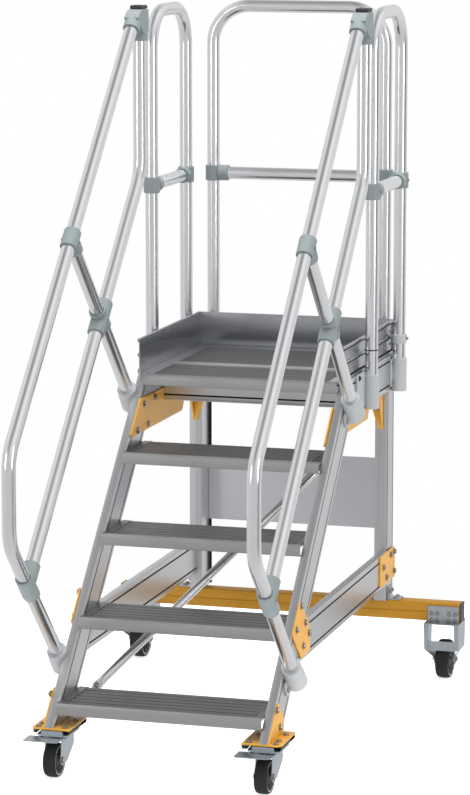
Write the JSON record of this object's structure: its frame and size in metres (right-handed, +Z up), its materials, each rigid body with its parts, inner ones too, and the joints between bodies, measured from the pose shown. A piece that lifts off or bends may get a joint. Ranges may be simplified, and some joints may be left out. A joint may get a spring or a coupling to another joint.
{
  "type": "mobile platform stair",
  "caption": "Rolling aluminium stair with ribbed treads, a guarded platform, bent tube handrails and braked swivel castors at the foot.",
  "frame": {"origin": "on the floor, under the middle of the whole object's box", "axes": "+Z up, +Y from the foot of the stair to its back, +X to the right of someone climbing it"},
  "size_m": [1.142, 1.8038, 2.1619],
  "materials": {
    "profile": "satin extrusion",
    "tube": "polished tube",
    "tread": "ribbed, dull",
    "connector": "moulded",
    "yellow_bracket": "powder coat",
    "ochre_beam": "powder coat",
    "zinc": "zinc plated sheet",
    "wheel_rim": "moulded",
    "tyre": "matt"
  },
  "bodies": {
    "stair": {"diagonal_brace": "tube", "foot_plate_left": "yellow_bracket", "foot_plate_right": "yellow_bracket", "front_castor_head_left": "zinc", "front_castor_head_right": "zinc", "guard_loop_left": "tube", "guard_loop_rear": "tube", "guard_loop_right": "tube", "guard_mid_rail_left": "tube", "guard_mid_rail_rear": "tube", "guard_mid_rail_right": "tube", "handrail_brace_lower_left": "tube", "handrail_brace_lower_right": "tube", "handrail_brace_upper_left": "tube", "handrail_brace_upper_right": "tube", "handrail_cross_connector_left": "connector", "handrail_cross_connector_right": "connector", "handrail_mid_left": "tube", "handrail_mid_right": "tube", "handrail_top_connector_left": "connector", "handrail_top_connector_right": "connector", "handrail_upper_left": "tube", "handrail_upper_right": "tube", "platform_deck": "tread", "platform_front_beam": "profile", "platform_front_tread": "tread", "platform_gusset_left": "yellow_bracket", "platform_gusset_right": "yellow_bracket", "platform_rear_beam": "profile", "platform_side_beam_left": "profile", "platform_side_beam_right": "profile", "rear_castor_bracket_left": "zinc", "rear_castor_bracket_right": "zinc", "rear_panel": "profile", "rear_post_left": "profile", "rear_post_right": "profile", "rear_stabiliser_beam": "ochre_beam", "side_member_left": "profile", "side_member_right": "profile", "stringer_left": "profile", "stringer_right": "profile", "toe_board_left": "profile", "toe_board_rear": "profile", "toe_board_right": "profile", "tread_1": "tread", "tread_2": "tread", "tread_3": "tread", "tread_4": "tread"},
    "front_castor_left": {"front_castor_fork_left": "zinc"},
    "brake_pedal_left": {"brake_pedal_left": "zinc"},
    "front_wheel_left": {"front_wheel_left_rim": "wheel_rim", "front_wheel_left_tyre": "tyre"},
    "rear_wheel_left": {"rear_wheel_left_rim": "wheel_rim", "rear_wheel_left_tyre": "tyre"},
    "front_castor_right": {"front_castor_fork_right": "zinc"},
    "brake_pedal_right": {"brake_pedal_right": "zinc"},
    "front_wheel_right": {"front_wheel_right_rim": "wheel_rim", "front_wheel_right_tyre": "tyre"},
    "rear_wheel_right": {"rear_wheel_right_rim": "wheel_rim", "rear_wheel_right_tyre": "tyre"}
  },
  "joints": [
    {"name": "front_castor_swivel_left", "type": "hinge", "parent": "stair", "child": "front_castor_left", "pos_m": [-0.307, -0.61294, 0.11], "axis": [0, 0, 1], "continuous": true},
    {"name": "front_wheel_spin_left", "type": "hinge", "parent": "front_castor_left", "child": "front_wheel_left", "pos_m": [-0.307, -0.65494, 0.05], "axis": [1, 0, 0], "continuous": true},
    {"name": "brake_pedal_press_left", "type": "hinge", "parent": "front_castor_left", "child": "brake_pedal_left", "pos_m": [-0.307, -0.66644, 0.1158], "axis": [1, 0, 0], "range_deg": [0, 14], "stiffness_Nm_per_rad": 2, "springref_deg": -2.86},
    {"name": "rear_wheel_spin_left", "type": "hinge", "parent": "stair", "child": "rear_wheel_left", "pos_m": [-0.5135, 0.8043, 0.0625], "axis": [1, 0, 0], "continuous": true},
    {"name": "front_castor_swivel_right", "type": "hinge", "parent": "stair", "child": "front_castor_right", "pos_m": [0.321, -0.61294, 0.11], "axis": [0, 0, 1], "continuous": true},
    {"name": "front_wheel_spin_right", "type": "hinge", "parent": "front_castor_right", "child": "front_wheel_right", "pos_m": [0.321, -0.65494, 0.05], "axis": [1, 0, 0], "continuous": true},
    {"name": "brake_pedal_press_right", "type": "hinge", "parent": "front_castor_right", "child": "brake_pedal_right", "pos_m": [0.321, -0.66644, 0.1158], "axis": [1, 0, 0], "range_deg": [0, 14], "stiffness_Nm_per_rad": 2, "springref_deg": -2.86},
    {"name": "rear_wheel_spin_right", "type": "hinge", "parent": "stair", "child": "rear_wheel_right", "pos_m": [0.5135, 0.8043, 0.0625], "axis": [1, 0, 0], "continuous": true}
  ]
}
